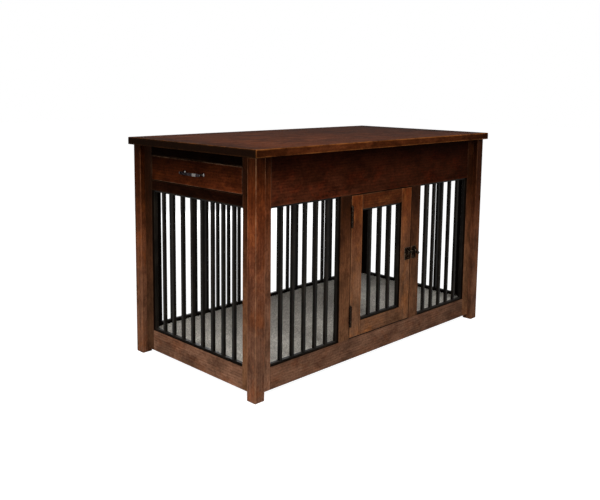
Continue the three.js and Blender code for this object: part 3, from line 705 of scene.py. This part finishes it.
def pile_tree():
    """Tufts over a rectangle about the origin, each leaning its own way. Each tuft keeps a
    number from 0 to 1 for its shade."""
    sizes = {"Width": "Float", "Length": "Float", "Pitch": "Float", "Seed": "Int"}
    tree, given = new_tree("pile", sizes)
    width, length, pitch = given["Width"], given["Length"], given["Pitch"]
    across = add(tree, MATH, [width, pitch], operation="DIVIDE")
    along = add(tree, MATH, [length, pitch], operation="DIVIDE")
    grid = {"Size X": width, "Size Y": length, "Vertices X": across, "Vertices Y": along}
    grid = add(tree, "GeometryNodeMeshGrid", grid)
    reach = add(tree, MATH, [pitch, 0.35], operation="MULTIPLY")
    most = add(tree, "ShaderNodeCombineXYZ", [reach, reach])
    least = add(tree, "ShaderNodeVectorMath", {"Vector": most, "Scale": -1.0}, operation="SCALE")
    full_turn = 6.28
    draws = []
    for i, (kind, low, high) in enumerate([
        # How far a tuft strays, how it leans and turns, how large it is, and its shade.
        ("FLOAT_VECTOR", least, most),
        ("FLOAT_VECTOR", (-0.3, -0.3, 0), (0.3, 0.3, full_turn)),
        ("FLOAT_VECTOR", (0.8, 0.8, 0.82), (1.15, 1.15, 1.0)),
        ("FLOAT", 0.0, 1.0),
    ]):
        seed = add(tree, MATH, [given["Seed"], float(i)], operation="ADD")
        limits = {"Min": low, "Max": high, "Seed": seed}
        draws.append(add(tree, "FunctionNodeRandomValue", limits, data_type=kind))
    stray, lean, size, shade = draws
    points = add(tree, "GeometryNodeSetPosition", {"Geometry": grid, "Offset": stray})
    copies = {"Points": points, "Instance": given["Geometry"], "Rotation": lean, "Scale": size}
    copies = add(tree, "GeometryNodeInstanceOnPoints", copies)
    marked = {"Geometry": copies, "Name": "tuft", "Value": shade}
    kinds = {"data_type": "FLOAT", "domain": "INSTANCE"}
    end_tree(tree, add(tree, "GeometryNodeStoreNamedAttribute", marked, **kinds), given)
    return tree


ROW = row_tree()
GRILLE = grille_tree()
PILE = pile_tree()

# ---- boards


def add_grain(mesh, low, high, name):
    """Where each point lies in its board: along, across and through the wood from a place of the
    board's own in the log, and how far it is from the board's faces."""
    chance = random.Random(name)
    size = high - low
    order = sorted(range(3), key=lambda i: -size[i])
    middle = (low + high) / 2
    log = [chance.uniform(0, 9), chance.uniform(-0.03, 0.03), chance.uniform(-0.02, 0.02)]
    grain, from_low, from_high = [], [], []
    for vertex in mesh.vertices:
        grain.extend(vertex.co[i] - middle[i] + log[k] for k, i in enumerate(order))
        from_low.extend(vertex.co - low)
        from_high.extend(high - vertex.co)
    for label, values in [("grain", grain), ("from_low", from_low), ("from_high", from_high)]:
        layer = mesh.attributes.new(label, "FLOAT_VECTOR", "POINT")
        layer.data.foreach_set("vector", values)


def add_painted_shade(mesh, low, high, most, both_sides):
    """The share of each face's colour that is lit, the rest being painted shade: the most on each
    face that is on the outside of the table, 0 on those inside and in the openings, and little
    on end grain, which drinks the stain, and on edges that face down, as painted shade. A door
    counts as outside on both sides."""
    # How far out along X and along Y the outside begins, and from what height the top's face.
    outside, top_face = [0.59, 0.29], 0.75
    # The least part of a unit normal on an axis, for the face to count as facing along it.
    facing, facing_down = 0.35, -0.3
    # The share that end grain and edges that face down keep.
    kept = 0.1
    size = high - low
    longest = max(range(3), key=lambda i: size[i])
    square = abs(size.x - size.y) < MM
    unshaded_share = []
    for face in mesh.polygons:
        middle, normal = face.center, face.normal
        shown = square or middle.z > top_face and normal.z > facing
        for i, wall in enumerate(outside):
            if abs(middle[i]) > wall and normal[i] * middle[i] > facing * abs(middle[i]):
                shown = True
        if both_sides and abs(normal.y) > facing:
            shown = True
        amount = most if shown else 0.0
        # End grain keeps little of its colour, and edges that face down get painted shade.
        if abs(normal[longest]) > facing or normal.z < facing_down:
            amount *= kept
        unshaded_share.append(amount)
    mesh.attributes.new("unshaded_share", "FLOAT", "FACE").data.foreach_set("value", unshaded_share)


def board(node, slot, body="frame", radius=0.7 * MM, tools=(), finish=None, unshaded_share=1.0):
    """One board of wood in the place of its node, with eased edges."""
    low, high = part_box(node)
    shape = eased_box(low, high, radius)
    if tools:
        shape = carved(shape, *tools)
    mesh = to_mesh(node, shape)
    add_grain(mesh, low, high, node)
    add_painted_shade(mesh, low, high, unshaded_share, body == "door")
    make_piece(f"{node}_board", mesh, slot, body, node, finish=finish)


# A hinge's leaf lies between these distances from the line through the middle of its pin.
LEAF = (0.3 * MM, 2.1 * MM)


def hinge_pockets():
    """Pockets for all the leaves, as deep as the leaves with a little air round them."""
    air = 0.3 * MM
    tools = []
    for where in ("top", "bottom"):
        low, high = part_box(f"hinge_{where}_frame_leaf")
        line = (low.x + high.x) / 2
        near = (line - LEAF[1] - air, low.y, low.z - air)
        far = (line + LEAF[1] + air, high.y + air, high.z + air)
        tools.append(plain_box(near, far))
    return tools


def drawer_groove():
    """The groove that the drawer's bottom lies in."""
    low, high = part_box("drawer_bottom")
    air = Vector((0.3, 0.3, 0.3)) * MM
    return plain_box(low - air, high + air)


def build_wood():
    board("table_top", "top_wood", radius=2.5 * MM)
    leg_round = 2 * MM
    board("leg_front_left", "leg_wood", radius=leg_round)
    # Each number is the share of a board's colour that is lit; the rest is painted shade, near black.
    for place, unshaded_share in [("front_right", 0.8), ("back_left", 1.0), ("back_right", 1.0)]:
        board(f"leg_{place}", "leg_wood", radius=leg_round, finish=SHADED_FAR_LEG, unshaded_share=unshaded_share)
    board("front_stile_left", "rail_wood")
    for node, unshaded_share in [
        ("front_stile_right", 0.95), ("back_stile_left", 0.7), ("back_stile_right", 0.7),
        ("left_stile_front", 1.0), ("left_stile_back", 0.4), ("right_stile_front", 0.7),
        ("right_stile_back", 0.7), ("door_jamb_right", 0.7),
    ]:
        board(node, "rail_wood", finish=SHADED_STILE, unshaded_share=unshaded_share)
    board("door_jamb_left", "rail_wood", tools=hinge_pockets(), finish=SHADED_STILE, unshaded_share=0.8)
    for side, unshaded_share in [("front", 0.68), ("back", 0.68), ("left", 1.0), ("right", 0.68)]:
        board(f"{side}_bottom_rail", "rail_wood", unshaded_share=unshaded_share)
    for side in ("front", "back", "right"):
        board(f"{side}_apron", "apron_wood")
    for node in ("left_top_rail", "left_drawer_rail"):
        board(node, "apron_wood", finish=SHADED_DRAWER_RAIL)
    door_round = 1.5 * MM
    board("door_stile_left", "door_wood", "door", door_round, hinge_pockets())
    for node, unshaded_share in [("door_stile_right", 1), ("door_rail_top", 0.5), ("door_rail_bottom", 0.8)]:
        board(node, "door_wood", "door", door_round, unshaded_share=unshaded_share)
    plain_round = 0.8 * MM
    board("drawer_front", "drawer_wood", "drawer", 1.8 * MM, [drawer_groove()])
    for node in ("drawer_side_front", "drawer_side_back", "drawer_back"):
        board(node, "plain_wood", "drawer", plain_round, [drawer_groove()])
    board("drawer_bottom", "plain_wood", "drawer", 0.3 * MM)
    board("floor_panel", "plain_wood", radius=plain_round)
    for kind in ("floor_cleat", "drawer_bearer"):
        for side in ("front", "back"):
            board(f"{kind}_{side}", "plain_wood", radius=plain_round)


# ---- steel and carpet


def build_grilles():
    """Grilles of square bars in flat-bar frames, each with this many bars."""
    half = BAR_STOCK / 2
    for node, bars in [
        ("grille_front_left", 5), ("grille_front_right", 5), ("grille_left_end", 8),
        ("grille_right_end", 8), ("grille_back", 19), ("door_grille", 3),
    ]:
        low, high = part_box(node)
        size = high - low
        x, y, _ = centre(low, high)
        stock = to_mesh("bar", eased_box((-half, -half, 0), (half, half, 1), 0.8 * MM, 2))
        mesh = grown(
            GRILLE, stock, "black_steel",
            Width=max(size.x, size.y), Height=size.z, Depth=min(size.x, size.y),
            Edge=6 * MM, Bar=11 * MM, Bars=bars, Bead=6 * MM,
            Place=(x, y, low.z), Turn=(0, 0, math.radians(90 if size.y > size.x else 0)),
        )
        body = "door" if node == "door_grille" else "frame"
        make_piece(f"{node}_steel", mesh, "black_steel", body, node)


def build_carpet():
    """A woven backing with tufts over all of it, in two halves. A tuft tapers to its tip and is
    sunk a little in the backing."""
    low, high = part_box("floor_carpet")
    backing_top = low.z + 2.6 * MM
    backing = eased_box(low, (high.x, high.y, backing_top), 0.8 * MM, 2)
    thick, tall, tip, sunk = 4 * MM, 3.9 * MM, 0.62, 0.6 * MM
    half_width = (high.x - low.x) / 2
    for i, name in enumerate(("carpet_pile_left", "carpet_pile_right")):
        tuft = extruded(rounded_outline(thick, thick, 0.6 * MM, 1)[::2], 0, tall)
        for vertex in tuft.verts:
            if vertex.co.z > 0:
                vertex.co.xy *= tip
        mesh = grown(
            PILE, to_mesh("tuft", tuft), "carpet",
            Width=half_width - 5 * MM, Length=high.y - low.y - 6 * MM, Pitch=5.6 * MM,
            Seed=11 + 4 * i, Place=(low.x + half_width * (i + 0.5), 0, backing_top - sunk),
        )
        make_piece(name, mesh, "carpet", "frame")
    mesh = to_mesh("carpet_backing", backing)
    carpet = make_piece("carpet_backing", mesh, "carpet", "frame", "floor_carpet")


# ---- hinges, latch, pull and slides


def screw_head(radius, height, flat=False):
    """A screw head on the XY plane with a cross recess, flat or domed."""
    if flat:
        top = 0.12 * MM
        profile = [(0, -height), (radius * 0.5, -height), (radius, -0.1 * MM)]
        profile += [(radius, 0.05 * MM), (radius * 0.92, top), (0, top)]
    else:
        top = height
        profile = [(0, -0.2 * MM), (radius, -0.2 * MM), (radius, height * 0.3)]
        profile += [(radius * 0.85, height * 0.75), (radius * 0.55, height), (0, height)]
    long, wide, deep = radius * 0.6, radius * 0.11, height * 0.6
    cross = [(long, wide), (wide, long)]
    arms = [plain_box((-x, -y, top - deep), (x, y, top + MM)) for x, y in cross]
    return carved(turned(profile, 20), *arms)


def add_screws(node, slot, body, head, place, step):
    """Three screws in a row from a place, a step apart."""
    row = grown(ROW, to_mesh("screw", head), slot, Count=3, Step=step, Place=place)
    make_piece(f"{node}_screws", row, slot, body)


def build_hinges():
    """Butt hinges: the knuckles of two leaves by turns on a pin with a finial at each end, and
    each leaf held by three flush screws."""
    knuckles, gap, bore, ease = 5, 0.3 * MM, 2.3 * MM, 0.35 * MM
    first_screw, screw_step = 11 * MM, 21 * MM
    for where in ("top", "bottom"):
        for leaf, side, first, body in [("frame_leaf", -1, 0, "frame"), ("door_leaf", 1, 1, "door")]:
            node = f"hinge_{where}_{leaf}"
            low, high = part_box(node)
            radius = (high.x - low.x) / 2
            line = Vector((low.x + radius, low.y + radius, low.z))
            pitch = (high.z - low.z) / knuckles
            z0, z1 = gap / 2, pitch - gap / 2
            outer = [(radius - ease, z0), (radius, z0 + ease), (radius, z1 - ease), (radius - ease, z1)]
            barrel = turned([(bore, z0), *outer, (bore, z1)], ring=True)
            near, far = sorted(side * distance for distance in LEAF)
            tab = eased_box((near, 3.4 * MM, z0), (far, 6 * MM, z1), 0.2 * MM, 1)
            rolled = grown(
                ROW, to_mesh("knuckle", barrel, tab), "dark_bronze", Count=(knuckles - first + 1) // 2,
                Step=(0, 0, 2 * pitch), Place=line + Vector((0, 0, first * pitch)),
            )
            start = line + Vector((near, 4.8 * MM, 0))
            plate = eased_box(start, (line.x + far, high.y, high.z), ease, 2)
            whole = to_mesh(node, plate, from_mesh(rolled))
            make_piece(f"{node}_metal", whole, "dark_bronze", body, node)
            head = moved(screw_head(3.2 * MM, 1.2 * MM, flat=True), turn(-90 * side, "Y"))
            place = (line.x + side * LEAF[0], line.y + 13.5 * MM, line.z + first_screw)
            add_screws(node, "dark_bronze", body, head, place, (0, 0, screw_step))
        node = f"hinge_{where}_pin"
        low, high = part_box(node)
        x, y, _ = centre(low, high)
        cap = (high.x - low.x) / 2
        length = high.z - low.z
        # Shares of the cap's radius, and heights in millimetres.
        finial = [(0, 0), (0.32, 0.15), (0.62, 0.9), (0.72, 1.9), (0.55, 2.9), (0.55, 3.4)]
        finial += [(0.9, 3.9), (1, 4.6), (1, 5.5), (0.9, 6)]
        finial = [(cap * share, height * MM) for share, height in finial] + [(2 * MM, 6 * MM)]
        profile = finial + [(radius, length - height) for radius, height in reversed(finial)]
        pin = moved(turned(profile), shift(x, y, low.z))
        make_piece(f"{node}_metal", to_mesh(node, pin), "dark_bronze", "frame", node)


# From an outline's own axes (up, outwards) and its thickness to the table's front face.
FRONT_PLATE = Matrix(((0, 0, 1, 0), (0, -1, 0, 0), (1, 0, 0, 0), (0, 0, 0, 1)))


def bolt_loop(radius, hole, foot, start, width, place):
    """A strap bent over the bolt: a half circle on two legs. place is the bolt's middle."""
    steps = 12
    over = arc(radius, 0, math.pi, steps)
    under = [(-x, y) for x, y in arc(hole, 0, math.pi, steps)]
    outline = [(radius, -foot), *over, (-radius, -foot), (-hole, -foot), *under, (hole, -foot)]
    loop = extruded(outline, start, start + width, 0.5 * MM)
    return moved(loop, FRONT_PLATE, shift(0, place.y, place.z))


def mounting_plate(low, high, thickness):
    """A flat plate with rounded corners, on the wood behind low.y to high.y."""
    x, _, z = centre(low, high)
    outline = rounded_outline(high.x - low.x, high.z - low.z, 3 * MM)
    plate = extruded(outline, 0, thickness, 0.5 * MM)
    return moved(plate, turn(90, "X"), shift(x, high.y, z))


def build_latch():
    """A surface bolt: a plate with two guides on the door, a keeper on the jamb, four screws in
    each, and a round bolt with its knob."""
    bolt_low, bolt_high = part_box("latch_bolt")
    _, y, z = centre(bolt_low, bolt_high)
    middle = Vector((0, y, z))
    thickness, screw_heights = 2 * MM, (5, 41)
    # In millimetres: the hole, each loop's start and width, and where the screws stand along X.
    for node, hole, loops, body, screws in [
        ("latch_plate", 4.3, ((10.5, 6), (25.5, 6)), "door", (5.25, 28.5)),
        ("latch_keeper", 4.6, ((10, 10),), "frame", (5.5, 20.5)),
    ]:
        low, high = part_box(node)
        outer = middle.y - low.y
        foot = high.y - middle.y - thickness / 2
        shapes = [mounting_plate(low, high, thickness)]
        for start, width in loops:
            start = low.x + start * MM
            shapes.append(bolt_loop(outer, hole * MM, foot, start, width * MM, middle))
        make_piece(f"{node}_metal", to_mesh(node, *shapes), "dark_bronze", body, node)
        heads = []
        for x in screws:
            for z in screw_heights:
                slant = random.Random(x * z).uniform(0, 90)
                spot = shift(low.x + x * MM, high.y - thickness, low.z + z * MM)
                head = screw_head(2.6 * MM, 1.5 * MM)
                heads.append(moved(head, turn(slant, "Z"), turn(90, "X"), spot))
        make_piece(f"{node}_screws", to_mesh("screws", *heads), "dark_bronze", body)

    radius = (bolt_high.z - bolt_low.z) / 2
    length = bolt_high.x - bolt_low.x
    ease = 1.6 * MM
    end = [(0, 0), (radius - ease, 0), (radius - ease * 0.5, ease * 0.25), (radius, ease)]
    profile = end + [(r, length - h) for r, h in reversed(end)]
    bolt = moved(turned(profile), turn(90, "Y"), shift(bolt_low.x, middle.y, middle.z))
    make_piece("bolt_rod_metal", to_mesh("bolt", bolt), "dark_bronze", "bolt", "latch_bolt")

    low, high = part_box("latch_knob")
    ball = (high.x - low.x) / 2
    reach = middle.y - low.y
    root, neck, collar = 2.3 * MM, 2.5 * MM, 3.4 * MM
    profile = [(0, root), (neck, root), (neck, 6 * MM), (collar, 9.5 * MM)]
    profile += [(collar, 10.3 * MM), (neck, 11 * MM), (neck, reach - 1.86 * ball)]
    steps = 14
    start = math.asin(neck / ball)
    for i in range(steps + 1):
        angle = start + (math.pi - start) * i / steps
        profile.append((ball * math.sin(angle), reach - ball - ball * math.cos(angle)))
    profile[-1] = (0, reach)
    x = (low.x + high.x) / 2
    knob = moved(turned(profile), turn(90, "X"), shift(x, middle.y, middle.z))
    make_piece("bolt_knob_metal", to_mesh("knob", knob), "dark_bronze", "bolt", "latch_knob")


def paler_tone(shape, *spans):
    """Marks the faces whose middle lies in one of these spans of y, in mm, as paler: worn, and a painted
    highlight.
    """
    edge = shape.faces.layers.float.get("edge") or shape.faces.layers.float.new("edge")
    for face in shape.faces:
        if any(low * MM < face.calc_center_median().y < high * MM for low, high in spans):
            face[edge] = 1
    return shape


def build_pull():
    """A bow pull: a rounded flat bar along a shallow arc, on two turned posts with flanges."""
    low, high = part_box("drawer_pull")
    face = high.x
    height = (low.z + high.z) / 2
    reach, bow, half, thick, tall, past_post = 27 * MM, 5 * MM, 48 * MM, 6 * MM, 10 * MM, 3.5 * MM
    radius = (half * half + bow * bow) / (2 * bow)
    span = math.asin((half + past_post) / radius)
    steps, tip, taper = 16, 0.62, 1.6
    path = []
    for i in range(-steps, steps + 1):
        angle = span * i / steps
        full = math.sin(min(1, (steps - abs(i)) / taper) * math.pi / 2)
        out = reach - radius + (radius - thick / 2) * math.cos(angle)
        path.append((-out, (radius - thick / 2) * math.sin(angle), tip + (1 - tip) * full))
    # Painted highlight, with wear, on the bar's marked spans, in mm along Y.
    bar = paler_tone(swept(path, rounded_outline(thick, tall, 2.2 * MM)), (-40, -24), (46, 60))
    shapes = [moved(bar, shift(face, 0, height))]
    # Radii and heights in millimetres.
    post = [(0, 0), (6.4, 0), (6.5, 0.3), (6.5, 1.2), (6.1, 1.8), (5.2, 2.2), (4.9, 3), (4.2, 4.4)]
    post += [(3.7, 6.5), (3.5, 10), (3.6, 16.5), (3.6, 18.6), (0, 18.6)]
    post = [(r * MM, h * MM) for r, h in post]
    for y in (-half, half):
        foot = moved(turned(post, 28), turn(-90, "Y"), shift(face, y, height))
        # Painted highlight, with wear, on the posts' marked spans.
        shapes.append(paler_tone(foot, (-60, -51), (40, 46)))
    make_piece("pull_metal", to_mesh("pull", *shapes), "dark_nickel", "drawer", "drawer_pull")


# From a section's own axes and its length to a profile that lies along X.
ALONG_X = Matrix(((0, 0, 1, 0), (1, 0, 0, 0), (0, 1, 0, 0), (0, 0, 0, 1)))


def build_slides():
    """Rolled steel: a C channel on each bearer and a smaller C runner inside it on the drawer,
    each with three screws through its web."""
    metal = 1.5 * MM
    first_screw, screw_step = 45 * MM, 150 * MM
    for kind, opening, body in [("channel", 1, "frame"), ("runner", -1, "drawer")]:
        for side, name in [(-1, "front"), (1, "back")]:
            node = f"slide_{kind}_{name}"
            low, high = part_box(node)
            _, y, z = centre(low, high)
            # The web stands on the side that the C doesn't open to.
            web = side * opening
            back, lip = web * (high.y - low.y) / 2, -web * (high.y - low.y) / 2
            inner, top = web * ((high.y - low.y) / 2 - metal), (high.z - low.z) / 2
            shelf = top - metal
            outline = [(back, -top), (lip, -top), (lip, -shelf), (inner, -shelf)]
            outline += [(inner, shelf), (lip, shelf), (lip, top), (back, top)]
            rolled = extruded(outline, low.x, high.x, 0.3 * MM, 1)
            rolled = moved(rolled, ALONG_X, shift(0, y, z))
            make_piece(f"{node}_metal", to_mesh(node, rolled), "zinc_steel", body, node)
            head = moved(screw_head(3.4 * MM, 1.1 * MM), turn(90 * web, "X"))
            place = (low.x + first_screw, y + inner, z)
            add_screws(node, "zinc_steel", body, head, place, (screw_step, 0, 0))


place_camera()
light_studio()
lay_floor()
build_wood()
build_grilles()
build_carpet()
build_hinges()
build_latch()
build_pull()
build_slides()
